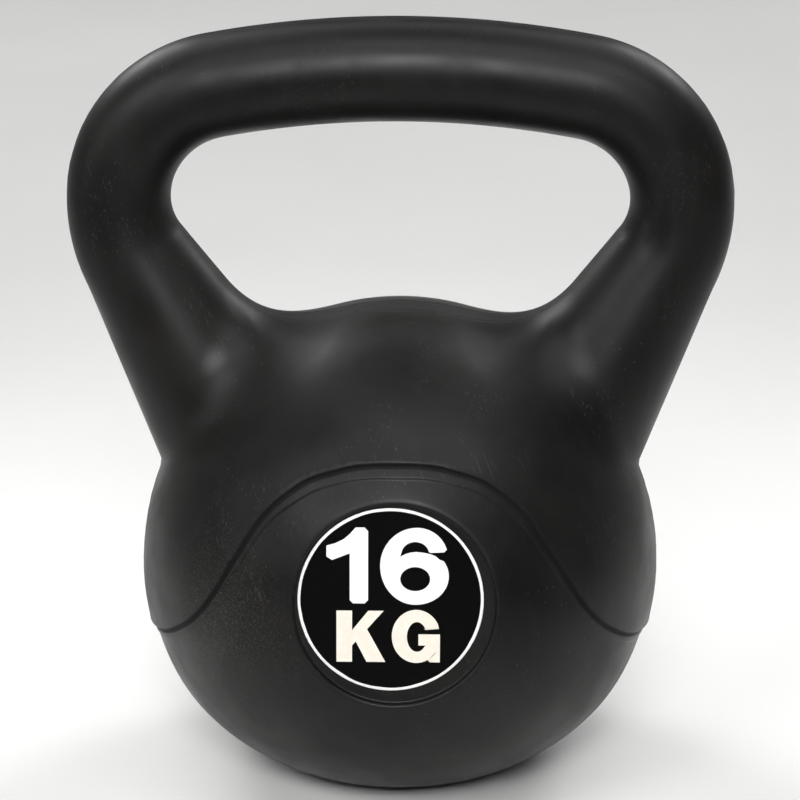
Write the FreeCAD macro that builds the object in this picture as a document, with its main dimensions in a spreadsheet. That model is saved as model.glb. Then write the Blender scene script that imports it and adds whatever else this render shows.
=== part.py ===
import FreeCAD, Part
import math
import os
import re
import Sketcher
from FreeCAD import Vector

# A 16 kg kettlebell: a blow-moulded plastic shell, body and handle in one piece, filled with
# heavy cement through a hole in its base. Millimetres. The origin is the middle of the base,
# +Z is up and the label faces -Y. The shell's parting plane is Y = 0.

doc = FreeCAD.newDocument("kettlebell")

SIZES = {
    # the round body, a stack of arcs whose lowest one is cut off flat to make the base
    "body_radius": 111.5,
    "widest_height": 88.6,
    "belly_radius": 90.6,
    "body_height": 203.8,
    "dome_radius": 108.0,
    # the handle's centre line: a shallow arch, two tight corners, two leaning horns
    "grip_radius": 22.0,
    "arch_radius": 421.0,
    "corner_radius": 50.0,
    "corner_offset": 69.0,
    "corner_height": 249.6,
    "horn_lean": 29.9,
    "horn_flare": 9.5,
    "horn_reach": 112.0,
    "web_blend": 26.0,
    "wall": 3.0,
    # the round recesses for the labels, front and back, which face a little upwards
    "label_height": 104.2,
    "label_tilt": 8.0,
    "label_radius": 38.0,
    "label_thickness": 0.4,
    "recess_radius": 41.5,
    "recess_distance": 98.4,
    # the dish under the base, the filling hole and its plug
    "dish_radius": 21.0,
    "dish_depth": 3.0,
    "filler_radius": 14.0,
    "plug_gap": 0.2,
    "plug_head_radius": 18.0,
    "plug_head_thickness": 1.6,
    "plug_depth": 10.0,
    "plug_wall": 2.0,
    "plug_bead": 0.9,
    "seal_thickness": 0.4,
    # the steel bar inside the handle
    "bar_radius": 5.0,
    "bar_leg": 128.0,
}


def make_sheet():
    """Put every driving dimension in a cell of its own, with its name as the alias."""
    sheet = doc.addObject("Spreadsheet::Sheet", "Sizes")
    for row, (alias, value) in enumerate(SIZES.items(), start=1):
        sheet.set(f"A{row}", alias)
        sheet.set(f"B{row}", str(value))
        sheet.setAlias(f"B{row}", alias)
    doc.recompute()


make_sheet()


def sized(text):
    """Turn 'body_radius - wall' into an expression that reads the sheet."""
    return re.sub(r"[a-z_]+", lambda word: f"Sizes.{word[0]}" if word[0] in SIZES else word[0], text)


def add_sketch(body, name, plane_role):
    """Add a sketch on one of the body's own origin planes."""
    plane = next(item for item in body.Origin.OriginFeatures if item.Role == plane_role)
    sketch = body.newObject("Sketcher::SketchObject", name)
    sketch.AttachmentSupport = [(plane, "")]
    sketch.MapMode = "FlatFace"
    return sketch


def bind(sketch, constraint, text):
    """Add a driving constraint whose value the sheet gives."""
    index = sketch.addConstraint(constraint)
    sketch.setExpression(f"Constraints[{index}]", sized(text))


def polar(centre, radius, angle):
    """The point at an angle, in radians, on a circle of the XZ plane, as a sketch sees it."""
    return Vector(centre.x + radius * math.cos(angle), centre.y + radius * math.sin(angle), 0)


def sketch_arc(sketch, centre, radius, start, end):
    """Add an arc running anticlockwise from one angle to another."""
    circle = Part.Circle(centre, Vector(0, 0, 1), radius)
    return sketch.addGeometry(Part.ArcOfCircle(circle, start, end))


# A sketch names the points of a line or an arc 1 (start), 2 (end) and 3 (centre);
# its origin is point 1 of -1, its horizontal axis is -1 and its vertical axis is -2.
START, END, CENTRE = 1, 2, 3
ORIGIN, UPRIGHT = -1, -2


def body_profile(body, name, inset):
    """Half section of the round body: belly, shoulder and dome, three tangent arcs."""
    size = SIZES
    depth = size.get(inset, 0.0)
    waist = size["widest_height"]
    dome = Vector(0, size["body_height"] - size["dome_radius"], 0)
    shoulder_radius = (size["dome_radius"] ** 2 - size["body_radius"] ** 2 - (waist - dome.y) ** 2) / (
        2 * (size["dome_radius"] - size["body_radius"]))
    shoulder = Vector(size["body_radius"] - shoulder_radius, waist, 0)
    belly = Vector(size["body_radius"] - size["belly_radius"], waist, 0)
    belly_reach = size["belly_radius"] - depth
    dome_angle = math.atan2(dome.y - shoulder.y, dome.x - shoulder.x)
    base_angle = -math.asin((waist - depth) / belly_reach)

    sketch = add_sketch(body, name, "XZ_Plane")
    base_edge = polar(belly, belly_reach, base_angle)
    top = Vector(0, size["body_height"] - depth, 0)
    base = sketch.addGeometry(Part.LineSegment(Vector(0, depth, 0), base_edge))
    belly_arc = sketch_arc(sketch, belly, belly_reach, base_angle, 0)
    shoulder_arc = sketch_arc(sketch, shoulder, shoulder_radius - depth, 0, dome_angle)
    dome_arc = sketch_arc(sketch, dome, size["dome_radius"] - depth, dome_angle, math.pi / 2)
    axis = sketch.addGeometry(Part.LineSegment(top, Vector(0, depth, 0)))

    Constraint = Sketcher.Constraint
    sketch.addConstraint([
        Constraint("Coincident", base, END, belly_arc, START),
        Constraint("Tangent", belly_arc, END, shoulder_arc, START),
        Constraint("Tangent", shoulder_arc, END, dome_arc, START),
        Constraint("Coincident", dome_arc, END, axis, START),
        Constraint("Coincident", axis, END, base, START),
        Constraint("Horizontal", base),
        Constraint("PointOnObject", axis, START, UPRIGHT),
        Constraint("PointOnObject", axis, END, UPRIGHT),
        Constraint("PointOnObject", dome_arc, CENTRE, UPRIGHT),
        Constraint("Horizontal", belly_arc, CENTRE, belly_arc, END),
    ])
    joint = (ORIGIN, START, belly_arc, END)
    bind(sketch, Constraint("Radius", belly_arc, belly_reach), f"belly_radius - {inset}")
    bind(sketch, Constraint("Radius", dome_arc, size["dome_radius"] - depth), f"dome_radius - {inset}")
    bind(sketch, Constraint("DistanceX", *joint, size["body_radius"] - depth), f"body_radius - {inset}")
    bind(sketch, Constraint("DistanceY", *joint, waist), "widest_height")
    bind(sketch, Constraint("DistanceY", base, END, belly_arc, END, waist - depth),
         f"widest_height - {inset}")
    bind(sketch, Constraint("DistanceY", ORIGIN, START, axis, START, top.y), f"body_height - {inset}")
    return sketch


def handle_path(body, name, leg):
    """Right half of the handle's centre line: shallow arch, tight corner, leaning leg."""
    size = SIZES
    corner = Vector(size["corner_offset"], size["corner_height"], 0)
    reach = size["arch_radius"] - size["corner_radius"]
    arch = Vector(0, corner.y - math.sqrt(reach ** 2 - corner.x ** 2), 0)
    turn = math.atan2(corner.y - arch.y, corner.x)
    lean = math.radians(size["horn_lean"])
    leg_top = polar(corner, size["corner_radius"], -lean)
    leg_end = leg_top + Vector(-math.sin(lean), -math.cos(lean), 0) * size[leg]

    sketch = add_sketch(body, name, "XZ_Plane")
    arch_arc = sketch_arc(sketch, arch, size["arch_radius"], turn, math.pi / 2)
    corner_arc = sketch_arc(sketch, corner, size["corner_radius"], -lean, turn)
    leg_line = sketch.addGeometry(Part.LineSegment(leg_top, leg_end))

    Constraint = Sketcher.Constraint
    sketch.addConstraint([
        Constraint("Tangent", corner_arc, END, arch_arc, START),
        Constraint("Tangent", leg_line, START, corner_arc, START),
        Constraint("PointOnObject", arch_arc, END, UPRIGHT),
        Constraint("PointOnObject", arch_arc, CENTRE, UPRIGHT),
    ])
    centre = (ORIGIN, START, corner_arc, CENTRE)
    bind(sketch, Constraint("Radius", arch_arc, size["arch_radius"]), "arch_radius")
    bind(sketch, Constraint("Radius", corner_arc, size["corner_radius"]), "corner_radius")
    bind(sketch, Constraint("DistanceX", *centre, corner.x), "corner_offset")
    bind(sketch, Constraint("DistanceY", *centre, corner.y), "corner_height")
    bind(sketch, Constraint("Distance", leg_line, size[leg]), leg)
    sketch.addConstraint(Constraint("Angle", leg_line, END, UPRIGHT, START, lean))
    sketch.setExpression(f"Constraints[{sketch.ConstraintCount - 1}]", sized("horn_lean * 1 deg"))
    return sketch


def horn_profile(body, name, inset):
    """Half section of a horn: a cone widening from the handle's radius towards the body."""
    size = SIZES
    depth = size.get(inset, 0.0)
    lean = math.radians(size["horn_lean"])
    corner = Vector(size["corner_offset"], size["corner_height"], 0)
    down = Vector(-math.sin(lean), -math.cos(lean), 0)
    out = Vector(math.cos(lean), -math.sin(lean), 0)
    thin = size["grip_radius"] - depth
    thick = thin + size["horn_reach"] * math.tan(math.radians(size["horn_flare"]))
    top = polar(corner, size["corner_radius"], -lean)
    bottom = top + down * size["horn_reach"]

    sketch = add_sketch(body, name, "XZ_Plane")
    sketch.addGeometry(Part.LineSegment(bottom, top), True)
    axis = sketch.addGeometry(Part.LineSegment(bottom, top))
    upper = sketch.addGeometry(Part.LineSegment(top, top + out * thin))
    side = sketch.addGeometry(Part.LineSegment(top + out * thin, bottom + out * thick))
    lower = sketch.addGeometry(Part.LineSegment(bottom + out * thick, bottom))

    Constraint = Sketcher.Constraint
    sketch.addConstraint([
        Constraint("Coincident", axis, END, upper, START),
        Constraint("Coincident", upper, END, side, START),
        Constraint("Coincident", side, END, lower, START),
        Constraint("Coincident", lower, END, axis, START),
        Constraint("Coincident", axis, START, axis - 1, START),
        Constraint("Coincident", axis, END, axis - 1, END),
        Constraint("Perpendicular", axis, upper),
        Constraint("Perpendicular", axis, lower),
    ])
    bind(sketch, Constraint("DistanceX", ORIGIN, START, axis, END, top.x),
         "corner_offset + corner_radius * cos(horn_lean * 1 deg)")
    bind(sketch, Constraint("DistanceY", ORIGIN, START, axis, END, top.y),
         "corner_height - corner_radius * sin(horn_lean * 1 deg)")
    bind(sketch, Constraint("Distance", axis, size["horn_reach"]), "horn_reach")
    bind(sketch, Constraint("Distance", upper, thin), f"grip_radius - {inset}")
    bind(sketch, Constraint("Distance", lower, thick),
         f"grip_radius - {inset} + horn_reach * tan(horn_flare * 1 deg)")
    bind(sketch, Constraint("Angle", axis, START, UPRIGHT, START, lean), "horn_lean * 1 deg")
    return sketch


def circle_at(body, name, plane_role, height, radius):
    """A circle on an origin plane, centred at a height on the sketch's vertical axis."""
    sketch = add_sketch(body, name, plane_role)
    middle = Vector(0, 300.0, 0)
    circle = sketch.addGeometry(Part.Circle(middle, Vector(0, 0, 1), 10.0))
    sketch.addConstraint(Sketcher.Constraint("PointOnObject", circle, CENTRE, UPRIGHT))
    bind(sketch, Sketcher.Constraint("DistanceY", ORIGIN, START, circle, CENTRE, 300.0), height)
    bind(sketch, Sketcher.Constraint("Radius", circle, 10.0), radius)
    return sketch


# Height of the handle's centre line at its middle: the top of the shallow arch.
GRIP_HEIGHT = ("corner_height + arch_radius"
               " - sqrt((arch_radius - corner_radius) ^ 2 - corner_offset ^ 2)")


def revolve(body, name, sketch, axis):
    """Turn a sketch a full circle round one of its axes."""
    feature = body.newObject("PartDesign::Revolution", name)
    feature.Profile = sketch
    feature.ReferenceAxis = (sketch, [axis])
    feature.Angle = 360
    return feature


def sweep(body, name, section, path, with_leg):
    """Sweep a round section along the handle's centre line, with its straight leg or without."""
    doc.recompute()
    pipe = body.newObject("PartDesign::AdditivePipe", name)
    pipe.Profile = section
    pipe.Spine = (path, [f"Edge{number}" for number, edge in enumerate(path.Shape.Edges, start=1)
                         if with_leg or not isinstance(edge.Curve, Part.Line)])
    return pipe


def mirror(body, name, features):
    """Copy features to the other side of the YZ plane."""
    plane = next(item for item in body.Origin.OriginFeatures if item.Role == "YZ_Plane")
    mirrored = body.newObject("PartDesign::Mirrored", name)
    mirrored.Originals = features
    mirrored.MirrorPlane = (plane, [""])
    body.Tip = mirrored
    doc.recompute()
    return mirrored


def root_edges(shape):
    """Names of the edges where the horns' cones leave the round body."""
    names = []
    for number, edge in enumerate(shape.Edges, start=1):
        cones = [isinstance(face.Surface, Part.Cone) for face in shape.ancestorsOfType(edge, Part.Face)]
        if len(cones) == 2 and sum(cones) == 1 and edge.BoundBox.ZMax < SIZES["body_height"]:
            names.append(f"Edge{number}")
    return names


def whole_form(name, inset):
    """Body and handle as one solid, drawn in by an inset from the outer surface."""
    body = doc.addObject("PartDesign::Body", name)
    round_profile = body_profile(body, name + "_round_profile", inset)
    revolve(body, name + "_round_body", round_profile, "V_Axis")
    cone_profile = horn_profile(body, name + "_horn_profile", inset)
    horn = revolve(body, name + "_horn", cone_profile, "Axis0")
    path = handle_path(body, name + "_handle_path", "horn_reach")
    section = circle_at(body, name + "_grip_section", "YZ_Plane", GRIP_HEIGHT, f"grip_radius - {inset}")
    grip = sweep(body, name + "_grip", section, path, with_leg=False)
    both = mirror(body, name + "_both_sides", [horn, grip])
    blend = body.newObject("PartDesign::Fillet", name + "_web")
    blend.Base = (both, root_edges(both.Shape))
    blend.setExpression("Radius", sized(f"web_blend + {inset}"))
    body.Tip = blend
    doc.recompute()
    return body


def place(item, y="0", z="0"):
    """Bind an object's place in the YZ plane to the sheet."""
    for axis, text in (("y", y), ("z", z)):
        item.setExpression(f"Placement.Base.{axis}", sized(text))


def cylinder(name, radius, height, z="0"):
    """An upright cylinder whose sizes the sheet gives."""
    item = doc.addObject("Part::Cylinder", name)
    item.setExpression("Radius", sized(radius))
    item.setExpression("Height", sized(height))
    place(item, z=z)
    return item


def disc(name, side, radius, height, inward="0"):
    """A cylinder standing outwards on the floor of a label recess, or inward of it: side -1
    is the front and 1 the back. Its axis rises by the label's tilt."""
    item = doc.addObject("Part::Cylinder", name)
    item.setExpression("Radius", sized(radius))
    item.setExpression("Height", sized(height))
    item.Placement.Rotation = FreeCAD.Rotation(Vector(1, 0, 0), 90)
    item.setExpression("Placement.Rotation.Angle", sized("(90 - label_tilt) * 1 deg"))
    item.Placement.Rotation.Axis = Vector(-side, 0, 0)
    place(item,
          y=f"(recess_distance - ({inward}) * cos(label_tilt * 1 deg)) * {side}",
          z=f"label_height - ({inward}) * sin(label_tilt * 1 deg)")
    return item


def combine(name, items):
    """Join several shapes."""
    joined = doc.addObject("Part::MultiFuse", name)
    joined.Shapes = items
    return joined


def subtract(name, base, tool):
    """Cut one shape from another."""
    cut = doc.addObject("Part::Cut", name)
    cut.Base = base
    cut.Tool = tool
    return cut


def dents(name, grow):
    """The two label recesses and the dish under the base, grown by the wall for the inside."""
    height = f"body_radius - recess_distance + {grow}"
    front = disc(name + "_front", -1, f"recess_radius + {grow}", height, inward=grow)
    back = disc(name + "_back", 1, f"recess_radius + {grow}", height, inward=grow)
    dish = cylinder(name + "_dish", f"dish_radius + {grow}", f"dish_depth + {grow}")
    return combine(name, [front, back, dish])


def make_shell_and_fill():
    """The hollow shell, and the cement that fills it round the bar and the plug."""
    outside = subtract("outside", whole_form("outer_form", "0"), dents("outer_dents", "0"))
    hollow = subtract("hollow", whole_form("inner_form", "wall"), dents("inner_dents", "wall"))
    closed = subtract("closed_shell", outside, hollow)
    hole = cylinder("filling_hole", "filler_radius", "dish_depth + wall + 5")
    shell = subtract("shell", closed, hole)
    spaces = combine("fill_spaces", [
        make_bar("bar_space"),
        cylinder("plug_space", "filler_radius + plug_bead + plug_gap",
                 "dish_depth + plug_depth + 1"),
    ])
    fill = subtract("cement_fill", hollow, spaces)
    return [shell, fill]


def make_bar(name):
    """The round steel bar bent along the handle's centre line and down both horns."""
    body = doc.addObject("PartDesign::Body", name)
    path = handle_path(body, name + "_path", "bar_leg")
    section = circle_at(body, name + "_section", "YZ_Plane", GRIP_HEIGHT, "bar_radius")
    half = sweep(body, name + "_half", section, path, with_leg=True)
    mirror(body, name + "_both_sides", [half])
    return body


def make_labels():
    """The two round vinyl labels, lying on the flat floors of their recesses."""
    return [disc(name, side, "label_radius", "label_thickness")
            for name, side in (("front_label", -1), ("back_label", 1))]


def make_seal():
    """The flat ring of sealant between the plug's head and the dish floor."""
    seal_z = "dish_depth - seal_thickness"
    ring = cylinder("seal_ring", "plug_head_radius", "seal_thickness", z=seal_z)
    bore = cylinder("seal_bore", "filler_radius", "seal_thickness", z=seal_z)
    return subtract("plug_seal", ring, bore)


def make_plug():
    """The press-in plug: a flat head, a hollow spigot and a snap bead behind the wall."""
    head_low = "dish_depth - seal_thickness - plug_head_thickness"
    spigot = "filler_radius - plug_gap"
    bead_low = "dish_depth + wall + plug_gap"
    bead = doc.addObject("Part::Cone", "plug_bead")
    bead.setExpression("Radius1", sized("filler_radius + plug_bead"))
    bead.setExpression("Radius2", sized(spigot))
    bead.setExpression("Height", sized("plug_depth - wall - plug_gap"))
    place(bead, z=bead_low)
    outside = combine("plug_outside", [
        cylinder("plug_head", "plug_head_radius", "plug_head_thickness", z=head_low),
        cylinder("plug_spigot", spigot, "plug_depth + seal_thickness", z="dish_depth - seal_thickness"),
        bead,
    ])
    bore = cylinder("plug_bore", f"{spigot} - plug_wall", "plug_depth + 1",
                    z="dish_depth - seal_thickness")
    return subtract("filler_plug", outside, bore)


def check(item):
    """Stop if an object or its shape is broken."""
    doc.recompute()
    if "Invalid" in item.State or "Error" in item.State:
        raise RuntimeError(f"{item.Name}: {item.State}")
    if item.Shape.isNull() or not item.Shape.isValid():
        raise RuntimeError(f"{item.Name} has no valid shape")


def main():
    """Build every sub-part, check it and write it as a STEP file named after its label."""
    pieces = make_shell_and_fill()
    pieces += [make_bar("reinforcing_bar"), *make_labels(), make_plug(), make_seal()]
    doc.recompute()
    for item in doc.Objects:
        if "Invalid" in item.State or "Error" in item.State:
            raise RuntimeError(f"{item.Name}: {item.State}")
    os.makedirs("parts", exist_ok=True)
    for piece in pieces:
        check(piece)
        piece.Shape.exportStep(f"parts/{piece.Label}.step")
        print(f"{piece.Label}: {piece.Shape.Volume / 1000:.1f} cm3")


main()
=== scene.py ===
# %% [markdown]
# A kettlebell in Blender. The real one is a thin plastic skin, blown in a two-part mould
# with its body and handle in one go, and filled with heavy cement through a hole in the base.
# The engineering model gives every piece its place. This lesson makes the pieces that show.

# %% Load the frame
import math
import bpy
import numpy as np
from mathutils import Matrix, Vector


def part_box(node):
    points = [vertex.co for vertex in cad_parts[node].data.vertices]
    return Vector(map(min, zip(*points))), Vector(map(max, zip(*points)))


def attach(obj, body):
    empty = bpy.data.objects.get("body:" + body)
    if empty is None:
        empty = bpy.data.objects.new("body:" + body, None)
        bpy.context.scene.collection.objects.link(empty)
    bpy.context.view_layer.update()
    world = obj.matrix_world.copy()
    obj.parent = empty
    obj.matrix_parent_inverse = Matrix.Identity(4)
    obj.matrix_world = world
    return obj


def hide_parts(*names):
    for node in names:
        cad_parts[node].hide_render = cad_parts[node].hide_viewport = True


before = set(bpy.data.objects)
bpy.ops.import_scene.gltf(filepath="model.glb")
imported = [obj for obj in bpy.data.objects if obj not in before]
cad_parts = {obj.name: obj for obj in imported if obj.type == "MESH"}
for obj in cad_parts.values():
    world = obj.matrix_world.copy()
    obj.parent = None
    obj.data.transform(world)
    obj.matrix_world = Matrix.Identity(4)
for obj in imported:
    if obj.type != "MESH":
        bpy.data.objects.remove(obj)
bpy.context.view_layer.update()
MM = 0.001
print("nodes:", sorted(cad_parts))

# %% [markdown]
# The skin is one smooth form, so it is described by one formula instead of by many patches.
# A formula like this gives, for any point, its distance from the surface: negative inside,
# positive outside. All its lengths are in millimetres, and they are the real object's.
#
# The round body is a stack of arcs turned round the upright axis.

# %% The round body
WAIST_RADIUS, WAIST_HEIGHT = 111.5, 88.6
BELLY_RADIUS, DOME_RADIUS, DOME_TOP = 90.6, 108.0, 203.8

dome_z = DOME_TOP - DOME_RADIUS
shoulder_radius = ((DOME_RADIUS ** 2 - WAIST_RADIUS ** 2 - (WAIST_HEIGHT - dome_z) ** 2)
                   / (2 * (DOME_RADIUS - WAIST_RADIUS)))
shoulder_r = WAIST_RADIUS - shoulder_radius
belly_r = WAIST_RADIUS - BELLY_RADIUS
dome_angle = math.atan2(dome_z - WAIST_HEIGHT, -shoulder_r)


def round_body(x, y, z):
    """Distance from the body of revolution."""
    r = np.hypot(x, y)
    belly = np.hypot(r - belly_r, z - WAIST_HEIGHT) - BELLY_RADIUS
    shoulder = np.hypot(r - shoulder_r, z - WAIST_HEIGHT) - shoulder_radius
    dome = np.hypot(r, z - dome_z) - DOME_RADIUS
    on_dome = np.arctan2(z - WAIST_HEIGHT, r - shoulder_r) > dome_angle
    return np.where(z < WAIST_HEIGHT, belly, np.where(on_dome, dome, shoulder))


print("shoulder arc radius", round(shoulder_radius, 1), "mm")

# %% [markdown]
# The handle is a round tube along a line made of three tangent pieces: a very shallow arch,
# a tight corner and a straight leg that leans inwards. Towards the body the tube flares out,
# and the flare begins gently just before the leg does.

# %% The handle
TUBE_RADIUS = 22.0
ARCH_RADIUS, CORNER_RADIUS = 421.3, 50.1
CORNER_X, CORNER_Z = 68.9, 249.5
LEG_LEAN, LEG_FLARE = math.radians(29.9), math.radians(8.64)
FLARE_START, FLARE_EASE = -11.7, 18.0
LEG_LENGTH = 112.0

arch_z = CORNER_Z - math.sqrt((ARCH_RADIUS - CORNER_RADIUS) ** 2 - CORNER_X ** 2)
corner_start = math.atan2(CORNER_Z - arch_z, CORNER_X)
leg_top = (CORNER_X + CORNER_RADIUS * math.cos(LEG_LEAN), CORNER_Z - CORNER_RADIUS * math.sin(LEG_LEAN))
leg_way = (-math.sin(LEG_LEAN), -math.cos(LEG_LEAN))


def ease_in(value, width):
    """0 below -width, value above +width, and a smooth bend in between."""
    return np.where(value <= -width, 0, np.where(value >= width, value, (value + width) ** 2 / (4 * width)))


def centre_line(x, z):
    """Distance from the handle's centre line, how far along the leg the nearest point is,
    and how far outside the line the point lies."""
    x = np.abs(x)
    turn = np.clip(np.arctan2(z - arch_z, x), corner_start, math.pi / 2)
    arch = np.hypot(x - ARCH_RADIUS * np.cos(turn), z - arch_z - ARCH_RADIUS * np.sin(turn))
    turn = np.clip(np.arctan2(z - CORNER_Z, x - CORNER_X), -LEG_LEAN, corner_start)
    corner = np.hypot(x - CORNER_X - CORNER_RADIUS * np.cos(turn),
                      z - CORNER_Z - CORNER_RADIUS * np.sin(turn))
    along = np.clip((x - leg_top[0]) * leg_way[0] + (z - leg_top[1]) * leg_way[1], 0, LEG_LENGTH)
    leg = np.hypot(x - leg_top[0] - leg_way[0] * along, z - leg_top[1] - leg_way[1] * along)
    on_leg = leg < np.minimum(arch, corner)
    on_corner = ~on_leg & (corner <= arch)
    along = np.where(on_leg, along, np.where(on_corner, -(turn + LEG_LEAN) * CORNER_RADIUS, -999))
    leg_side = (x - leg_top[0]) * -leg_way[1] + (z - leg_top[1]) * leg_way[0]
    side = np.where(on_leg, leg_side,
                    np.where(on_corner, np.hypot(x - CORNER_X, z - CORNER_Z) - CORNER_RADIUS,
                             np.hypot(x, z - arch_z) - ARCH_RADIUS))
    return np.minimum(np.minimum(arch, corner), leg), along, side


def handle(x, y, z):
    """Distance from the handle's tube, and the sine of the place round it: 1 outside, -1 inside."""
    gap, along, side = centre_line(x, z)
    radius = TUBE_RADIUS + math.tan(LEG_FLARE) * ease_in(along - FLARE_START, FLARE_EASE)
    return np.hypot(gap, y) - radius, np.clip(side / radius, -1, 1)


# %% [markdown]
# Body and handle run into each other in a soft valley towards the window, a tighter one on
# the faces, and almost a crease on the outside. So the width of the blend changes round the
# leg. The foot of the body is cut off flat, which makes the base.

# %% The whole form
WINDOW_BLEND, FACE_BLEND, OUTER_BLEND = 32.0, 16.5, 1.5
BASE_ROUND = 2.5


def smooth_lower(a, b, width):
    """The smaller of two distances, with a soft change over that width."""
    mix = np.maximum(width - np.abs(a - b), 0) / width
    return np.minimum(a, b) - mix * mix * width / 4


def moulded_form(x, y, z):
    """Distance from body and handle as they come out of the mould."""
    tube, place = handle(x, y, z)
    width = np.where(place < 0, FACE_BLEND + (FACE_BLEND - WINDOW_BLEND) * place,
                     FACE_BLEND + (OUTER_BLEND - FACE_BLEND) * place)
    joined = smooth_lower(round_body(x, y, z), tube, width)
    return -smooth_lower(-joined, z, BASE_ROUND)


# %% [markdown]
# Where the two halves of the mould meet, plastic squeezes out as flash. Round the hand window
# it is trimmed off with a knife, which leaves a narrow flat land along the edge, with a fine
# line on both sides of it. Cutting the form flat across Y, just below its crest, makes that land.

# %% The trimmed land round the window
LAND_DEPTH = 0.23
LAND_LOWEST = 150.0


def land_cut(x, z):
    """How far a point is above the knife's cut, which runs only along the window."""
    inner = (centre_line(x, z)[2] < 0) & (z > LAND_LOWEST)
    return np.where(inner, moulded_form(x, 0 * x, z) + LAND_DEPTH, -50.0)


def trimmed_form(x, y, z):
    return np.maximum(moulded_form(x, y, z), land_cut(x, z))


def gradient(form, points, reach=0.05):
    """The direction in which a distance grows, by small steps either way."""
    parts = []
    for axis in range(3):
        step = np.zeros(3)
        step[axis] = reach
        parts.append((form(*(points + step).T) - form(*(points - step).T)) / (2 * reach))
    return np.stack(parts, 1)


# %% [markdown]
# The skin is a ring round the window. So its net is cast from inside: half planes are turned
# round the middle of the window, and in each one rays run out from the middle of the section
# until they meet the surface. The half planes stand closer where the window's edge is near.

# %% Cast the net
TURNS, ROUNDS = 330, 132
WINDOW_Z = 223.0
REACH = 420.0
STRIDE, CAST_HALVINGS, EDGE_HALVINGS = 3.0, 22, 12


def section_middle(angle):
    """Middle, near end and far end of the form's section in each half plane."""
    steps = np.linspace(0, REACH, 2101)
    x = np.cos(angle)[:, None] * steps
    z = WINDOW_Z + np.sin(angle)[:, None] * steps
    inside = trimmed_form(x, 0 * x, z) < 0
    near = steps[inside.argmax(1)]
    far = steps[len(steps) - 1 - inside[:, ::-1].argmax(1)]
    return (near + far) / 2, near, far


def even_turns():
    """Angles whose half planes are evenly spaced along the skin."""
    angle = np.linspace(0, 2 * math.pi, 1441)
    near, far = section_middle(angle)[1:]
    spacing = np.cumsum(near + 0.6 * far)
    spacing = (spacing - spacing[0]) / (spacing[-1] - spacing[0])
    return np.interp(np.arange(TURNS) / TURNS, spacing, angle)


def cast(angle, around):
    """Points where the rays leave the form."""
    middle = section_middle(angle)[0]
    x0, z0 = (np.cos(angle) * middle)[:, None], (WINDOW_Z + np.sin(angle) * middle)[:, None]
    dx = np.cos(angle)[:, None] * np.cos(around)
    dz = np.sin(angle)[:, None] * np.cos(around)
    dy = np.sin(around) + 0 * dx
    low, high = 0 * dx, 0 * dx + REACH / 2
    found = np.zeros(dx.shape, bool)
    for reach in np.arange(STRIDE, REACH / 2, STRIDE):
        out = (trimmed_form(x0 + dx * reach, dy * reach, z0 + dz * reach) > 0) & ~found
        high, low = np.where(out, reach, high), np.where(out, reach - STRIDE, low)
        found |= out
        if found.all():
            break
    for _ in range(CAST_HALVINGS):
        half = (low + high) / 2
        inside = trimmed_form(x0 + dx * half, dy * half, z0 + dz * half) < 0
        low, high = np.where(inside, half, low), np.where(inside, high, half)
    return np.stack([x0 + dx * high, dy * high, z0 + dz * high], -1)


turns = even_turns()
rounds = np.linspace(0, 2 * math.pi, ROUNDS, endpoint=False)
net = cast(turns, rounds)
points = net.reshape(-1, 3)
first = np.arange(TURNS * ROUNDS).reshape(TURNS, ROUNDS)
second, third = np.roll(first, -1, 0), np.roll(np.roll(first, -1, 0), -1, 1)
fourth = np.roll(first, -1, 1)
faces = np.concatenate([np.stack([first, second, third], -1).reshape(-1, 3),
                        np.stack([first, third, fourth], -1).reshape(-1, 3)])
print(len(points), "points,", len(faces), "triangles, highest", round(points[:, 2].max(), 1))

# %% [markdown]
# Fine features need edges exactly where they run. This tool draws a level line of any value
# into the net: it moves points that are already close onto the line, and splits the triangles
# that the line still crosses. So a narrow step costs only a few thin triangles.

# %% Draw level lines into the net
SNAP = 0.02


def level_line(table, faces, value_of, level):
    """Put edges along the line where the value is that level. The first three columns of the
    table are the points, and whatever else it holds is shared out along with them."""
    value = value_of(table[:, :3]) - level
    edges = np.sort(np.concatenate([faces[:, [0, 1]], faces[:, [1, 2]], faces[:, [2, 0]]]), 1)
    edges = np.unique(edges, axis=0)
    crossed = edges[value[edges[:, 0]] * value[edges[:, 1]] < 0]
    one, two = crossed.T
    share = where_crossed(table[one, :3], table[two, :3], value[one], value_of, level)[:, None]
    spots = table[one] * (1 - share) + table[two] * share
    table = table.copy()
    for near, close in ((one, share[:, 0] < SNAP), (two, share[:, 0] > 1 - SNAP)):
        table[near[close]] = spots[close]
        value[near[close]] = 0
    keep = value[one] * value[two] < 0
    number = len(table) + np.arange(keep.sum())
    lookup = dict(zip(map(tuple, crossed[keep].tolist()), number.tolist()))
    table = np.concatenate([table, spots[keep]])
    sign = np.sign(value).astype(int)
    mixed = (sign[faces].min(1) < 0) & (sign[faces].max(1) > 0)
    split = [piece for face in faces[mixed].tolist() for piece in split_face(face, sign, lookup)]
    return table, np.concatenate([faces[~mixed], np.array(split, int).reshape(-1, 3)])


def where_crossed(one, two, at_one, value_of, level):
    """How far along each edge the level lies, found by halving."""
    low, high = np.zeros(len(one)), np.ones(len(one))
    for _ in range(EDGE_HALVINGS):
        half = (low + high) / 2
        value = value_of(one + (two - one) * half[:, None]) - level
        before = value * at_one > 0
        low, high = np.where(before, half, low), np.where(before, high, half)
    return (low + high) / 2


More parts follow.
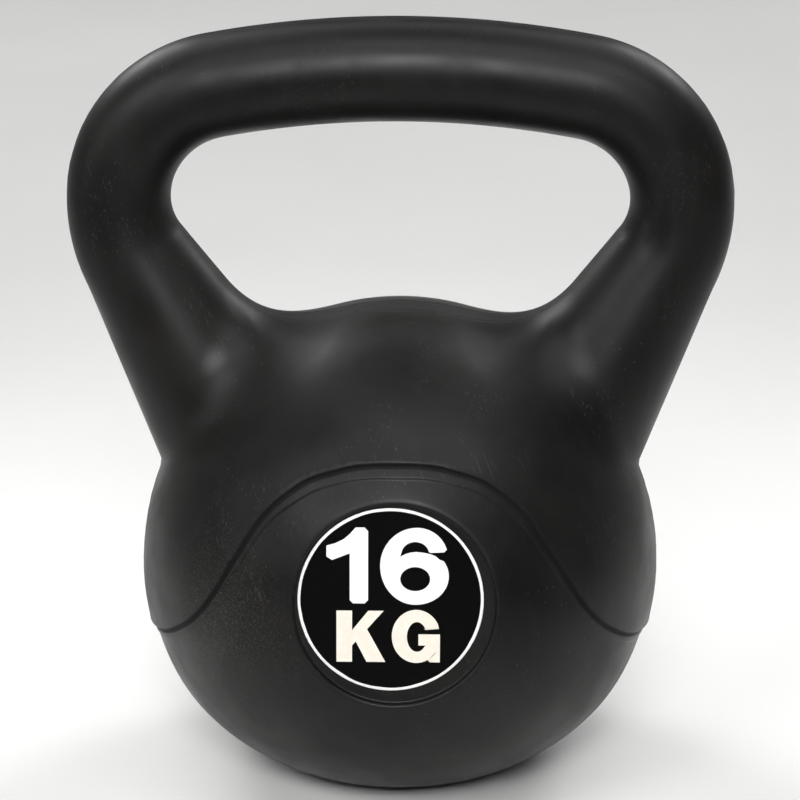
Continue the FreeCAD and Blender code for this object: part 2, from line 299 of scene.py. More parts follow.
def split_face(face, sign, lookup):
    """The two or three triangles that a crossed triangle falls into."""
    for a, b, c in (face, face[1:] + face[:1], face[2:] + face[:2]):
        if sign[a] == 0 and sign[b] * sign[c] < 0:
            p = lookup[(min(b, c), max(b, c))]
            return [(a, b, p), (a, p, c)]
        if sign[a] * sign[b] < 0 and sign[a] * sign[c] < 0:
            p, q = lookup[(min(a, b), max(a, b))], lookup[(min(a, c), max(a, c))]
            return [(a, p, q), (p, b, c), (p, c, q)]
    return [tuple(face)]


def onto(points, form, rounds=3):
    """Bring points back onto the surface along its own direction."""
    for _ in range(rounds):
        slope = gradient(form, points)
        length = np.maximum((slope ** 2).sum(1, keepdims=True), 1e-6)
        points = points - slope * (form(*points.T)[:, None] / length)
    return points


# %% [markdown]
# A stepped line arches over the label. It starts high in front, runs down in an S on either
# side, and goes round the body to the back. Below it the skin lies 1.75 mm lower,
# in two steps with a narrow band between them. Its height over the turn from the front is
# given at a few places, and a smooth curve goes through them.

# %% The stepped line
LINE_TURN = np.radians([0, 15, 26, 34, 38.5, 44.5, 50, 57, 65, 78, 90])
LINE_HEIGHT = np.array([160.5, 157.8, 149.6, 134.5, 118.5, 99.0, 88.0, 79.2, 72.6, 67.6, 66.2])
BAND_TURN = np.radians([0, 25, 36, 44, 55, 66, 90])
BAND_WIDTH = np.array([5.8, 5.4, 3.8, 3.0, 3.6, 4.3, 4.4])
STEP_DEPTHS = (1.15, 0.6)
STEP_WIDTHS = (1.5, 1.7)
LIP_HEIGHT, LIP_WIDTH = 0.22, 2.2
# Under the line the skin swells out again, and by the floor it is back at the flat base.
SWELL_SHARE, SWELL_OVER = 0.75, 40.0
FOOT_FADE = 16.0


def smooth_through(at, places, values):
    """A curve through the values, flat at both ends, with no overshoot."""
    slope = np.gradient(values, places)
    slope[[0, -1]] = 0
    i = np.clip(np.searchsorted(places, at) - 1, 0, len(places) - 2)
    width = places[i + 1] - places[i]
    t = (at - places[i]) / width
    return ((2 * t ** 3 - 3 * t ** 2 + 1) * values[i] + (t ** 3 - 2 * t ** 2 + t) * width * slope[i]
            + (3 * t ** 2 - 2 * t ** 3) * values[i + 1] + (t ** 3 - t ** 2) * width * slope[i + 1])


def arch_points():
    """The line's points on one quarter of the body, in order of their turn from the front."""
    turn = np.linspace(0, math.pi / 2, 420)
    z = smooth_through(turn, LINE_TURN, LINE_HEIGHT)
    low = np.array([np.sin(turn), -np.cos(turn)])
    on_belly = belly_r + np.sqrt(BELLY_RADIUS ** 2 - (z - WAIST_HEIGHT) ** 2)
    on_shoulder = shoulder_r + np.sqrt(shoulder_radius ** 2 - (z - WAIST_HEIGHT) ** 2)
    r = np.where(z < WAIST_HEIGHT, on_belly, on_shoulder)
    placed = onto(np.stack([low[0] * r, low[1] * r, z], 1), moulded_form, 6)
    return np.arctan2(placed[:, 0], -placed[:, 1]), placed


line_turn, line_points = arch_points()


def height_over_line(points):
    """How far points are above the stepped line, straight up."""
    around = np.arctan2(np.abs(points[:, 0]), np.abs(points[:, 1]))
    return points[:, 2] - np.interp(around, line_turn, line_points[:, 2])


def line_distance(x, y, z):
    """Distance from the stepped line, positive above it, and the turn of the nearest point."""
    p = np.stack([np.abs(x), -np.abs(y), z], -1)
    square = ((p[:, None, :] - line_points[None, ::3]) ** 2).sum(-1)
    nearest = square.argmin(1) * 3
    start = np.clip(nearest - 3, 0, len(line_points) - 7)
    best, turn = np.full(len(p), 1e9), np.zeros(len(p))
    for step in range(6):
        a, b = line_points[start + step], line_points[start + step + 1]
        t = np.clip(((p - a) * (b - a)).sum(1) / ((b - a) ** 2).sum(1), 0, 1)
        gap = np.linalg.norm(p - a - (b - a) * t[:, None], axis=1)
        closer = gap < best
        best = np.where(closer, gap, best)
        turn = np.where(closer, line_turn[start + step], turn)
    above = height_over_line(np.stack([x, y, z], -1)) > 0
    return np.where(above, best, -best), turn


def smooth_step(value, width):
    """0 below -width/2, 1 above width/2."""
    t = np.clip(value / width + 0.5, 0, 1)
    return t * t * (3 - 2 * t)


FAR = 25.0


def step_values(points):
    """For each point, its distance from the outer line and from the inner one."""
    outer = np.full(len(points), FAR)
    inner = np.full(len(points), FAR)
    height = height_over_line(points)
    near = (np.abs(height) < FAR) & (round_body(*points.T) > -6)
    outer[~near] = np.where(height[~near] > 0, FAR, -FAR)
    inner[~near] = outer[~near]
    distance, turn = line_distance(*points[near].T)
    outer[near] = distance
    inner[near] = distance + np.interp(turn, BAND_TURN, BAND_WIDTH)
    return outer, inner


def relief(points):
    """How far the stepped line raises or lowers the skin at each point."""
    outer, inner = step_values(points)
    sunk = (STEP_DEPTHS[0] * (1 - smooth_step(outer, STEP_WIDTHS[0]))
            + STEP_DEPTHS[1] * (1 - smooth_step(inner, STEP_WIDTHS[1])))
    lip = LIP_HEIGHT * np.exp(-((outer - LIP_WIDTH / 2) / LIP_WIDTH * 2) ** 2)
    swell = SWELL_SHARE * smooth_step(-height_over_line(points) / SWELL_OVER - 0.5, 1.0)
    return (lip - sunk * (1 - swell)) * smooth_step(points[:, 2] / FOOT_FADE - 0.5, 1.0)


for level in (3.0, STEP_WIDTHS[0] / 2, 0.25, -0.25, -STEP_WIDTHS[0] / 2):
    points, faces = level_line(points, faces, lambda p: step_values(p)[0], level)
for level in (STEP_WIDTHS[1] / 2, 0.0, -STEP_WIDTHS[1] / 2):
    points, faces = level_line(points, faces, lambda p: step_values(p)[1], level)
print("with the stepped line:", len(faces), "triangles")

# %% [markdown]
# The edge of the flat base is round in plan, so it gets a few circles of its own.

# %% The base's edge
BASE_CIRCLES = (36.0, 38.5, 40.5, 42.5, 45.5)


def base_radius(points):
    """Distance from the upright axis near the floor, and far above it a large number."""
    return np.where(points[:, 2] < 12, np.hypot(points[:, 0], points[:, 1]), 99.0)


for level in BASE_CIRCLES:
    points, faces = level_line(points, faces, base_radius, level)
print("with the base's edge:", len(faces), "triangles")

# %% [markdown]
# The line beside the trimmed land is a scratch of the knife's edge. Its distance is worked out
# from how fast the two surfaces part, and a shallow groove is drawn along it.

# %% The land's edge
EDGE_WIDTH, EDGE_DEPTH = 0.55, 0.22
# The edge is sought only where the cut and the moulded form lie this close.
CLOSE = 2.0


def land_distance(points):
    """Distance from the land's edge: positive on the land, negative on the moulded skin."""
    def parting(x, y, z):
        return land_cut(x, z) - moulded_form(x, y, z)
    result = np.full(len(points), -FAR)
    near = (points[:, 2] > LAND_LOWEST + 5) & (centre_line(points[:, 0], points[:, 2])[2] < 0)
    near &= np.abs(points[:, 1]) < 30
    part = points[near]
    value = parting(*part.T)
    slope = gradient(parting, part)
    normal = gradient(moulded_form, part)
    normal /= np.linalg.norm(normal, axis=1, keepdims=True)
    slope -= normal * (slope * normal).sum(1, keepdims=True)
    steep = np.maximum(np.linalg.norm(slope, axis=1), 0.02)
    result[near] = np.where(value > -CLOSE, np.clip(value / steep, -FAR, FAR), -FAR)
    return result


for level in (-EDGE_WIDTH, -EDGE_WIDTH / 2, 0.0, EDGE_WIDTH / 2, EDGE_WIDTH):
    points, faces = level_line(points, faces, land_distance, level)
print("with the land's edge:", len(faces), "triangles")

# %% [markdown]
# Now everything is brought onto the finished surface: smooth form, trimmed land, groove and
# stepped line together. The same formula gives the exact direction of the surface at every
# point, which shades better than directions averaged from flat triangles.

# %% Finish the surface
def finish_points(points):
    """Points on the finished skin, and its outward direction there."""
    points = onto(points, trimmed_form)
    normal = gradient(trimmed_form, points, 0.02)
    normal /= np.linalg.norm(normal, axis=1, keepdims=True)
    return points, normal


def groove(points):
    """Depth of the fine line beside the land, a little uneven along its way."""
    distance = land_distance(points)
    x, z = points[:, 0], points[:, 2]
    uneven = 0.75 + 0.25 * np.sin(x * 0.31 + 1.3) * np.sin(x * 0.83 + z * 0.4)
    return -EDGE_DEPTH * uneven * np.clip(1 - np.abs(distance) / EDGE_WIDTH, 0, 1), distance


def raised(points):
    return relief(points) + groove(points)[0]


points, normals = finish_points(points)
height = raised(points)
reach = 0.12
sideways = np.cross(normals, [0.3, 0.5, 0.81])
sideways /= np.linalg.norm(sideways, axis=1, keepdims=True)
crossways = np.cross(normals, sideways)
tilt_a = (raised(points + sideways * reach) - raised(points - sideways * reach)) / (2 * reach)
tilt_b = (raised(points + crossways * reach) - raised(points - crossways * reach)) / (2 * reach)
line_share = step_values(points)[0]
edge_share = groove(points)[1]
points = points + normals * height[:, None]
normals = normals - sideways * tilt_a[:, None] - crossways * tilt_b[:, None]
normals /= np.linalg.norm(normals, axis=1, keepdims=True)
print("lowest", round(points[:, 2].min(), 2), "widest", round(points[:, 0].max(), 1))

# %% [markdown]
# The label sits in a round recess with a flat floor that faces slightly upwards, and the base
# has a dish with the filling hole. Both are turned shapes let into the skin: the net is cut
# away inside a circle, and rows of points carry on from the cut edge, over a rounded lip, down
# a wall, round a fillet and across the floor. Its place comes from the engineering model.

# %% Recesses and dish
label_low, label_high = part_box("front_label")
LABEL_RADIUS = (label_high.x - label_low.x) / 2 / MM
LABEL_THICKNESS = 0.4
label_height = (label_high.z + label_low.z) / 2 / MM
label_tilt = math.acos((label_high.z - label_low.z) / (label_high.x - label_low.x))
label_middle = -(label_high.y + label_low.y) / 2 / MM
RECESS_RADIUS, RECESS_LIP, RECESS_FILLET = 41.5, 1.1, 0.7
RECESS_CUT = 44.6


class Spot:
    """A flat round place on the object: its middle, its outward axis and its own up and right."""
    def __init__(self, middle, axis, up):
        self.middle, self.axis, self.up = (np.array(v, float) for v in (middle, axis, up))
        self.right = np.cross(self.up, self.axis)

    def local(self, points):
        """Right, up and outward coordinates of points."""
        away = points - self.middle
        return away @ self.right, away @ self.up, away @ self.axis

    def world(self, right, up, out):
        return (self.middle + np.multiply.outer(right, self.right)
                + np.multiply.outer(up, self.up) + np.multiply.outer(out, self.axis))


def label_spot(side):
    """The floor of the label's recess: side -1 is the front and 1 the back."""
    axis = (0, side * math.cos(label_tilt), math.sin(label_tilt))
    up = (0, -side * math.sin(label_tilt), math.cos(label_tilt))
    back = LABEL_THICKNESS / 2
    middle = (0, side * (label_middle - back * math.cos(label_tilt)),
              label_height - back * math.sin(label_tilt))
    return Spot(middle, axis, up)


front, back = label_spot(-1), label_spot(1)
under = Spot((0, 0, 0), (0, 0, -1), (0, 1, 0))


def open_rim(faces):
    """Points along the open edge of the net, and its directed edges."""
    edges = np.concatenate([faces[:, [0, 1]], faces[:, [1, 2]], faces[:, [2, 0]]])
    key = np.sort(edges, 1)
    where, count = np.unique(key, axis=0, return_index=True, return_counts=True)[1:]
    return edges[where[count == 1]]


def let_in(table, faces, spot, cut_radius, rows_of):
    """Cut the net inside a circle and carry on with rows of (radius, height above the spot)."""
    def from_axis(points):
        right, up, out = spot.local(points)
        return np.where(out > -20, np.hypot(right, up), 99.0)
    table, faces = level_line(table, faces, from_axis, cut_radius)
    faces = faces[from_axis(table[:, :3])[faces].mean(1) > cut_radius]
    edges = open_rim(faces)
    rim = np.unique(edges)
    right, up, out = spot.local(table[rim, :3])
    turn = np.arctan2(up, right)
    order = np.argsort(turn)
    rim, out, turn = rim[order], out[order], turn[order]
    rows = rows_of(out)
    rings = [rim]
    for radius, level in rows:
        new = spot.world(np.cos(turn) * radius, np.sin(turn) * radius, level + 0 * turn)
        rings.append(len(table) + np.arange(len(rim)))
        table = np.concatenate([table, np.column_stack([new, np.tile(BLANK, (len(rim), 1))])])
    patch = []
    for outer, inner in zip(rings[:-1], rings[1:]):
        patch += [np.stack([outer, inner, np.roll(outer, -1)], 1),
                  np.stack([np.roll(outer, -1), inner, np.roll(inner, -1)], 1)]
    patch.append(np.stack([rings[-1], 0 * rim + len(table), np.roll(rings[-1], -1)], 1))
    middle = spot.world(0.0, 0.0, float(np.mean(rows[-1][1])))
    table = np.concatenate([table, [[*middle, *BLANK]]])
    patch = np.concatenate(patch)
    if ([rim[1], rim[0]] == edges).all(1).any():
        patch = patch[:, ::-1]
    print("let in with", len(rim), "points round and", len(rows), "rows")
    return table, np.concatenate([faces, patch])


def rounded(radius, level, size, start, steps=5):
    """A quarter turn of a rounded edge: start 0 is a lip, 1 a fillet at the wall's foot."""
    bends = np.radians(np.linspace(0, 90, steps))
    if start == 0:
        return [(radius - size * math.sin(b), level - size * (1 - math.cos(b))) for b in bends]
    return [(radius - size * (1 - math.cos(b)), level + size * (1 - math.sin(b))) for b in bends]


def recess_rows(out):
    """The lip, wall, fillet and floor of a label recess."""
    rise = (RECESS_CUT - RECESS_RADIUS - RECESS_LIP) * 0.38
    lip = out + rise
    rows = [(RECESS_CUT - 1.0, out + 0.36)]
    rows += rounded(RECESS_RADIUS + RECESS_LIP, lip, RECESS_LIP, 0, 7)
    rows += rounded(RECESS_RADIUS - 0.1, 0.0, RECESS_FILLET, 1)
    return rows + [(RECESS_RADIUS - 2.2, 0.0), (32.0, 0.0), (16.0, 0.0)]


DISH_RADIUS, DISH_DEPTH, FILLER_RADIUS, WALL = 21.0, 3.0, 14.0, 3.0
PLUG_TOP = 14.0


def dish_rows(out):
    """The dish under the base and the filling hole, closed again above the plug."""
    rows = rounded(DISH_RADIUS + 0.9, 0.0, 0.9, 0)
    rows += rounded(DISH_RADIUS - 0.1, -DISH_DEPTH, 0.6, 1)
    rows += rounded(FILLER_RADIUS + 0.3, -DISH_DEPTH, 0.3, 0, 3)
    bead = FILLER_RADIUS + 1.4
    return rows + [(FILLER_RADIUS, -DISH_DEPTH - WALL), (bead, -DISH_DEPTH - WALL - 0.1), (bead, -PLUG_TOP)]


BLANK = (0.0, 0.0, 0.0, -FAR, -FAR)
table = np.column_stack([points, normals, line_share, edge_share])
table, faces = let_in(table, faces, front, RECESS_CUT, recess_rows)
table, faces = let_in(table, faces, back, RECESS_CUT, recess_rows)
table, faces = let_in(table, faces, under, DISH_RADIUS + 2.2, dish_rows)
used, faces = np.unique(faces, return_inverse=True)
table, faces = table[used], faces.reshape(-1, 3)
corner = table[:, :3][faces]
volume = np.einsum("ij,ij->i", corner[:, 0], np.cross(corner[:, 1], corner[:, 2])).sum() / 6
print("the skin holds", round(volume / 1e6, 2), "litres;", len(open_rim(faces)), "open edges")

# %% [markdown]
# The points become a Blender mesh in metres. Two values ride along on them: how far each point
# is from the stepped line and from the land's edge. The material uses them to paint shade into
# the colour just there, and to make the skin a little rougher there.

# %% Make the skin
def make_mesh(name, points_mm, faces, materials=()):
    """A smooth-shaded object from points in millimetres."""
    mesh = bpy.data.meshes.new(name)
    mesh.from_pydata((np.asarray(points_mm) * MM).tolist(), [], [list(map(int, f)) for f in faces])
    mesh.polygons.foreach_set("use_smooth", np.ones(len(mesh.polygons), bool))
    mesh.update()
    piece = bpy.data.objects.new(name, mesh)
    bpy.context.scene.collection.objects.link(piece)
    for material in materials:
        mesh.materials.append(material)
    return piece


def add_value(piece, name, values):
    """Store one number for every point of a piece."""
    attribute = piece.data.attributes.new(name, "FLOAT", "POINT")
    attribute.data.foreach_set("value", np.asarray(values, np.float32))


if volume < 0:
    faces = faces[:, ::-1]
skin = make_mesh("skin", table[:, :3], faces)
skin.data.normals_split_custom_set_from_vertices(table[:, 3:6].tolist())
add_value(skin, "from_line", table[:, 6])
add_value(skin, "from_edge", table[:, 7])
print("skin:", len(skin.data.polygons), "triangles")

# %% [markdown]
# The labels are round vinyl stickers with a thin rounded edge. A turned piece is a profile
# swept round an axis, so one function makes the labels and the plug.

# %% Labels and plug
ROUND_STEPS = 160


def turned(name, spot, profile, offset=(0.0, 0.0)):
    """Sweep (radius, height) pairs round a spot's axis. The first and last radius are 0."""
    turn = np.linspace(0, 2 * math.pi, ROUND_STEPS, endpoint=False)
    rows = [spot.world(offset[0] + np.cos(turn) * r, offset[1] + np.sin(turn) * r, h + 0 * turn)
            for r, h in profile[1:-1]]
    ends = [spot.world(offset[0], offset[1], profile[0][1]), spot.world(offset[0], offset[1], profile[-1][1])]
    points = np.concatenate([*rows, ends])
    faces, step = [], np.arange(ROUND_STEPS)
    after = np.roll(step, -1)
    for row in range(len(rows) - 1):
        a, b = row * ROUND_STEPS + step, row * ROUND_STEPS + after
        faces += np.stack([a, a + ROUND_STEPS, b + ROUND_STEPS, b], 1).tolist()
    last = (len(rows) - 1) * ROUND_STEPS
    faces += np.stack([step, after, 0 * step + len(points) - 2], 1).tolist()
    faces += np.stack([last + after, last + step, 0 * step + len(points) - 1], 1).tolist()
    piece = make_mesh(name, points, faces)
    radii = [r for r, h in profile[1:-1] for _ in step] + [0, 0]
    add_value(piece, "from_middle", radii)
    return piece


top = LABEL_THICKNESS
LABEL_PROFILE = [(0, top), (12, top), (28, top), (36.2, top), (37.4, top - 0.01), (37.8, top - 0.05),
                 (LABEL_RADIUS, top - 0.16), (LABEL_RADIUS, 0.03), (37.6, 0.0), (0, 0.0)]
# Stickers are put in by hand, a little off the recess's middle.
LABEL_OFFSET = {"front_sticker": (-1.6, 2.0), "back_sticker": (0.9, -0.7)}
front_sticker = turned("front_sticker", front, LABEL_PROFILE, LABEL_OFFSET["front_sticker"])
back_sticker = turned("back_sticker", back, LABEL_PROFILE, LABEL_OFFSET["back_sticker"])

PLUG_PROFILE = [
    (0, -1.35), (0.9, -1.35), (1.3, -1.1), (1.7, -1.02), (9.5, -1.0), (9.9, -1.12), (10.3, -1.4),
    (10.7, -1.12), (11.1, -1.0), (16.5, -1.0), (17.3, -1.12), (17.85, -1.5), (18.0, -1.9),
    (18.0, -2.5), (17.9, -2.6), (13.8, -2.62), (13.75, -6.2), (14.85, -6.4), (14.85, -7.0),
    (13.9, -12.9), (13.6, -13.0), (11.9, -13.0), (11.8, -12.8), (11.8, -3.4), (11.2, -3.0), (0, -3.0)]
plug = turned("plug", under, PLUG_PROFILE)
print("turned pieces:", [len(o.data.polygons) for o in (front_sticker, back_sticker, plug)])

# %% [markdown]
# The marking is printed: plain heavy figures for the weight, in white, and the unit under
# them, in cream. Each letter is drawn here as an outline of straight and curved runs, in
# millimetres from the label's middle, and gets the thickness of a coat of ink.

# %% The print
INK = 0.05


def curved(middle, reach, start, end, steps=24):
    """Points on an ellipse from one angle to another, in degrees, anticlockwise from the right."""
    at = np.radians(np.linspace(start, end, steps))
    return [(middle[0] + reach[0] * math.cos(a), middle[1] + reach[1] * math.sin(a)) for a in at]


ONE = ([(-14.3, 30.0), (-10.7, 30.0), (-9.2, 28.5), (-9.2, -0.2), (-10.6, -1.6), (-15.3, -1.6), (-16.7, -0.2),
        (-16.7, 19.2), (-23.9, 16.4), (-26.2, 17.9), (-26.2, 22.4)]
       + [(-22.6, 23.4), (-19.2, 25.1), (-16.6, 27.3)])
SIX = ([(16.2, 19.6), (21.8, 19.9)] + curved((10.8, 17.6), (12.5, 12.4), 16, 88, 18)
       + curved((10.8, 14.1), (15.1, 15.9), 90, 180) + curved((10.1, 14.1), (14.4, 16.1), 183, 268)
       + curved((10.1, 9.9), (13.6, 11.9), -90, 32) + [(20.0, 16.8), (18.2, 18.3), (16.3, 19.1)]
       + [(13.4, 19.7), (10.5, 20.0), (8.0, 19.7), (6.0, 19.1), (3.9, 18.0)]
       + curved((10.0, 19.2), (5.6, 4.9), 165, 10, 16))
SIX_HOLE = curved((10.0, 8.7), (6.1, 5.0), 0, 345)
LETTER_K = [(-22.1, -4.6), (-15.7, -4.6), (-15.7, -12.8), (-9.1, -4.6), (-2.8, -4.6), (-9.6, -12.3),
            (-2.1, -26.0), (-9.8, -26.0), (-14.2, -17.5), (-15.7, -19.2), (-15.7, -26.0), (-22.1, -26.0)]
LETTER_G = (curved((10.5, -15.2), (10.0, 11.1), 28, 325, 44)
            + [(16.0, -24.4), (16.1, -26.0), (20.2, -26.0), (20.2, -14.3), (11.4, -14.3), (11.4, -19.0),
               (14.3, -19.0)]
            + curved((10.8, -15.4), (4.1, 6.2), -50, -332, 30) + [(13.6, -12.0), (19.8, -12.0)])


def print_piece(name, spot, offset, outlines):
    """Fill outlines, with holes where one lies inside another, and lay them on a label."""
    drawing = bpy.data.curves.new(name, "CURVE")
    drawing.dimensions = "2D"
    drawing.fill_mode = "BOTH"
    drawing.extrude = INK / 2
    for outline in outlines:
        run = drawing.splines.new("POLY")
        run.points.add(len(outline) - 1)
        run.points.foreach_set("co", [v for x, y in outline for v in (x, y, 0, 1)])
        run.use_cyclic_u = True
    holder = bpy.data.objects.new(name + "_outline", drawing)
    mesh = bpy.data.meshes.new_from_object(holder)
    flat = np.array([v.co for v in mesh.vertices])
    faces = [list(p.vertices) for p in mesh.polygons]
    bpy.data.objects.remove(holder)
    bpy.data.meshes.remove(mesh)
    level = LABEL_THICKNESS + INK / 2 + 0.004
    points = spot.world(flat[:, 0] + offset[0], flat[:, 1] + offset[1], flat[:, 2] + level)
    piece = make_mesh(name, points, faces)
    piece.data.polygons.foreach_set("use_smooth", np.zeros(len(piece.data.polygons), bool))
    return piece


prints = {}
for side, spot in (("front", front), ("back", back)):
    offset = LABEL_OFFSET[side + "_sticker"]
    prints[side + "_number"] = print_piece(side + "_number", spot, offset, [ONE, SIX, SIX_HOLE])
    prints[side + "_unit"] = print_piece(side + "_unit", spot, offset, [LETTER_K, LETTER_G])
print("printed:", sorted(prints))

# %% [markdown]
# Thin things that follow a line are a job for Geometry Nodes. The first tree turns a line of
# points into a thread of plastic: the seam where the mould closed, left standing a fraction of
# a millimetre. The second lays small burrs across a line: what the knife left on the land.

# %% Node trees for threads and burrs
def add_node(tree, kind, links=None, **settings):
    """Add a node, set its properties, and link or set its inputs by name or number."""
    node = tree.nodes.new(kind)
    for name, value in settings.items():
        setattr(node, name, value)
    for key, value in (links or {}).items():
        socket = node.inputs[key]
        if isinstance(value, bpy.types.NodeSocket):
            tree.links.new(value, socket)
        else:
            socket.default_value = value
    return node


def math_of(tree, operation, *values):
    """One arithmetic step."""
    return add_node(tree, "ShaderNodeMath", dict(enumerate(values)), operation=operation).outputs[0]


def spread(tree, value, low, high, to_low=0.0, to_high=1.0):
    """Stretch the part of a value between two limits to a new range, and clip the rest."""
    return add_node(tree, "ShaderNodeMapRange", {"Value": value, "From Min": low, "From Max": high,
                                                 "To Min": to_low, "To Max": to_high}).outputs[0]


def new_tree(name, numbers):
    """A Geometry Nodes tree with a geometry input, a material and some named numbers."""
    tree = bpy.data.node_groups.new(name, "GeometryNodeTree")
    tree.interface.new_socket("Line", in_out="INPUT", socket_type="NodeSocketGeometry")
    for label, value in numbers.items():
        kind = "NodeSocketInt" if isinstance(value, int) else "NodeSocketFloat"
        tree.interface.new_socket(label, in_out="INPUT", socket_type=kind).default_value = value
    tree.interface.new_socket("Material", in_out="INPUT", socket_type="NodeSocketMaterial")
    tree.interface.new_socket("Result", in_out="OUTPUT", socket_type="NodeSocketGeometry")
    return tree, tree.nodes.new("NodeGroupInput").outputs


def close_tree(tree, geometry, material):
    """End a tree in Realize Instances and Set Material."""
    real = add_node(tree, "GeometryNodeRealizeInstances", {0: geometry})
    painted = add_node(tree, "GeometryNodeSetMaterial", {"Geometry": real.outputs[0], "Material": material})
    add_node(tree, "NodeGroupOutput", {0: painted.outputs[0]})
    return tree


def spaced(tree, given):
    """The incoming line as a curve with evenly spaced points."""
    curve = add_node(tree, "GeometryNodeMeshToCurve", {0: given["Line"]})
    return add_node(tree, "GeometryNodeResampleCurve",
                    {"Curve": curve.outputs[0], "Length": given["Spacing"]}, mode="LENGTH").outputs[0]


def swept(tree, curve, radius, sides):
    """A closed tube along a curve."""
    profile = add_node(tree, "GeometryNodeCurvePrimitiveCircle", {"Resolution": sides, "Radius": 1.0})
    return add_node(tree, "GeometryNodeCurveToMesh",
                    {"Curve": curve, "Profile Curve": profile.outputs[0], "Scale": radius,
                     "Fill Caps": True}).outputs[0]


def thread_tree():
    """A thin uneven thread along a line."""
    tree, given = new_tree("thread", {"Spacing": 0.001, "Radius": 0.0003, "Unevenness": 0.5, "Seed": 1})
    even = spaced(tree, given)
    place = add_node(tree, "GeometryNodeInputPosition").outputs[0]
    noise = add_node(tree, "ShaderNodeTexNoise",
                     {"Vector": place, "W": math_of(tree, "MULTIPLY", given["Seed"], 3.7), "Scale": 160.0},
                     noise_dimensions="4D").outputs[0]
    swing = spread(tree, noise, 0.3, 0.7, -1.0, 1.0)
    change = math_of(tree, "MULTIPLY_ADD", swing, given["Unevenness"], 1.0)
    tube = swept(tree, even, math_of(tree, "MULTIPLY", change, given["Radius"]), 6)
    return close_tree(tree, tube, given["Material"])


def burr_tree():
    """Small tapered burrs lying across a line, of random length and with random gaps."""
    tree, given = new_tree("burrs", {"Spacing": 0.0015, "Length": 0.006, "Radius": 0.0001, "Scatter": 0.003,
                                     "Seed": 1})
    even = spaced(tree, given)
    spine = add_node(tree, "GeometryNodeCurvePrimitiveLine", {"Start": (0, -0.5, 0), "End": (0, 0.5, 0)})
    parts = add_node(tree, "GeometryNodeResampleCurve", {"Curve": spine.outputs[0], "Count": 5}).outputs[0]
    along = add_node(tree, "GeometryNodeSplineParameter").outputs["Factor"]
    swell = math_of(tree, "SINE", math_of(tree, "MULTIPLY", along, math.pi))
    burr = swept(tree, parts, math_of(tree, "MULTIPLY_ADD", swell, given["Radius"], 0.00001), 5)
    chosen = add_node(tree, "FunctionNodeRandomValue", {"Probability": 0.6, "Seed": given["Seed"]},
                      data_type="BOOLEAN").outputs[3]
    share = add_node(tree, "FunctionNodeRandomValue", {2: 0.3, 3: 1.0, "Seed": given["Seed"]},
                     data_type="FLOAT").outputs[1]
    size = math_of(tree, "MULTIPLY", share, given["Length"])
    scale = add_node(tree, "ShaderNodeCombineXYZ", {"X": 1.0, "Y": size, "Z": 1.0}).outputs[0]
    later = math_of(tree, "ADD", given["Seed"], 7.0)
    aside = add_node(tree, "FunctionNodeRandomValue", {2: -1.0, 3: 1.0, "Seed": later},
                     data_type="FLOAT").outputs[1]
    offset = add_node(tree, "ShaderNodeCombineXYZ", {"Y": math_of(tree, "MULTIPLY", aside, given["Scatter"])})
    placed = add_node(tree, "GeometryNodeSetPosition", {"Geometry": even, "Offset": offset.outputs[0]})
    strewn = add_node(tree, "GeometryNodeInstanceOnPoints",
                      {"Points": placed.outputs[0], "Selection": chosen, "Instance": burr, "Scale": scale})
    return close_tree(tree, strewn.outputs[0], given["Material"])


def grow(name, tree, line_mm, material, numbers):
    """Run a tree on a line of points and keep the result as a plain mesh."""
    mesh = bpy.data.meshes.new(name + "_line")
    mesh.from_pydata((np.asarray(line_mm) * MM).tolist(), [(i, i + 1) for i in range(len(line_mm) - 1)], [])
    holder = bpy.data.objects.new(name + "_line", mesh)
    bpy.context.scene.collection.objects.link(holder)
    modifier = holder.modifiers.new(name, "NODES")
    modifier.node_group = tree
    sockets = {s.name: s.identifier for s in tree.interface.items_tree if s.in_out == "INPUT"}
    for label, value in {**numbers, "Material": material}.items():
        modifier[sockets[label]] = value
    seen = holder.evaluated_get(bpy.context.evaluated_depsgraph_get())
    made = bpy.data.meshes.new_from_object(seen)
    bpy.data.objects.remove(holder)
    made.name = name
    made.polygons.foreach_set("use_smooth", np.ones(len(made.polygons), bool))
    piece = bpy.data.objects.new(name, made)
    bpy.context.scene.collection.objects.link(piece)
    print(name, len(made.polygons), "faces")
    return piece


# %% [markdown]
# The materials start from what the real things are. The skin is blow-moulded polyethylene:
# dyed through in near-black, satin, and a little mottled, because it took the texture of the
# mould. It has been handled, so it has dust in faint specks, short scratches, and paler rubbed
# places. Colours are given as they look on a screen and turned into light by one function.

# %% Materials
def screen(code):
    """A screen colour such as '#262524' as linear light."""
    parts = [int(code[i:i + 2], 16) / 255 for i in (1, 3, 5)]
    return tuple(c / 12.92 if c <= 0.04045 else ((c + 0.055) / 1.055) ** 2.4 for c in parts) + (1.0,)


def new_material(name, ior, rough, color, metallic=0.0, specular=0.5):
    """A material with its shader, and the Object coordinates that its patterns follow."""
    material = bpy.data.materials.new(name)
    material.use_nodes = True
    tree = material.node_tree
    shader = tree.nodes["Principled BSDF"]
    shader.inputs["IOR"].default_value = ior
    shader.inputs["Roughness"].default_value = rough
    shader.inputs["Metallic"].default_value = metallic
    shader.inputs["Specular IOR Level"].default_value = specular
    shader.inputs["Base Color"].default_value = screen(color)
    place = tree.nodes.new("ShaderNodeTexCoord").outputs["Object"]
    return material, tree, shader, place


def pattern(tree, place, size_mm, detail=3.0, stretch=(1, 1, 1), rough=0.5):
    """Noise whose blotches are about that big, stretched where asked."""
    scaled = add_node(tree, "ShaderNodeMapping", {"Vector": place, "Scale": tuple(1 / s for s in stretch)})
    return add_node(tree, "ShaderNodeTexNoise", {"Vector": scaled.outputs[0], "Scale": 1000.0 / size_mm,
                                                 "Detail": detail, "Roughness": rough}).outputs["Fac"]


